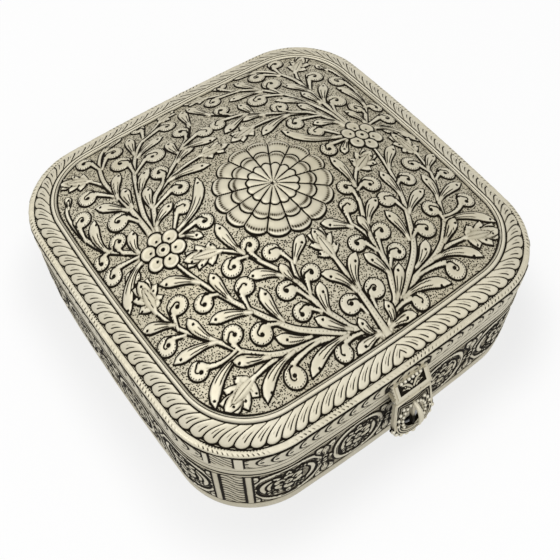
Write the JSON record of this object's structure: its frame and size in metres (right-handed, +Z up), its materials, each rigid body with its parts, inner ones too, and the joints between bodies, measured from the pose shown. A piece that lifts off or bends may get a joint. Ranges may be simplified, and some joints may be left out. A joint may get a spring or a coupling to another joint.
{
  "type": "hinged box with domed lid",
  "caption": "Square chased silver box with rounded corners, hinged domed lid with a petal rosette and gadrooned border, and a hanging openwork hasp.",
  "frame": {"origin": "on the table under the middle of the box, on the underside of its floor", "axes": "+Z up, front with the clasp at -Y, hinges at +Y, +X to the right seen from the front"},
  "size_m": [0.2038, 0.2219, 0.0946],
  "materials": {
    "silver": "antique silver, worn bright on the high parts, dark in the chased lines",
    "pin_wire": "plain silver wire"
  },
  "bodies": {
    "base": {"base_wall": "silver", "base_floor": "silver", "base_foot_band": "silver", "base_top_band": "silver", "base_bezel": "silver", "hinge_base_left": "silver", "hinge_base_right": "silver", "hinge_pin_left": "pin_wire", "hinge_pin_right": "pin_wire", "catch_plate": "silver", "catch_clip": "pin_wire"},
    "lid": {"lid_edge_band": "silver", "lid_skirt": "silver", "lid_rim": "silver", "lid_border": "silver", "lid_moulding": "silver", "lid_panel": "silver", "hinge_lid_left": "silver", "hinge_lid_right": "silver", "clasp_bracket": "silver", "clasp_pin": "pin_wire"},
    "hasp": {"hasp_plate": "silver", "hasp_crescent": "silver", "hasp_pull": "silver"}
  },
  "joints": [
    {"name": "lid_hinge", "type": "hinge", "parent": "base", "child": "lid", "pos_m": [0, 0.1036, 0.0502], "axis": [-1, 0, 0], "range_deg": [0, 105]},
    {"name": "hasp_hinge", "type": "hinge", "parent": "lid", "child": "hasp", "pos_m": [0, -0.1055, 0.0502], "axis": [-1, 0, 0], "range_deg": [-10, 110]}
  ]
}
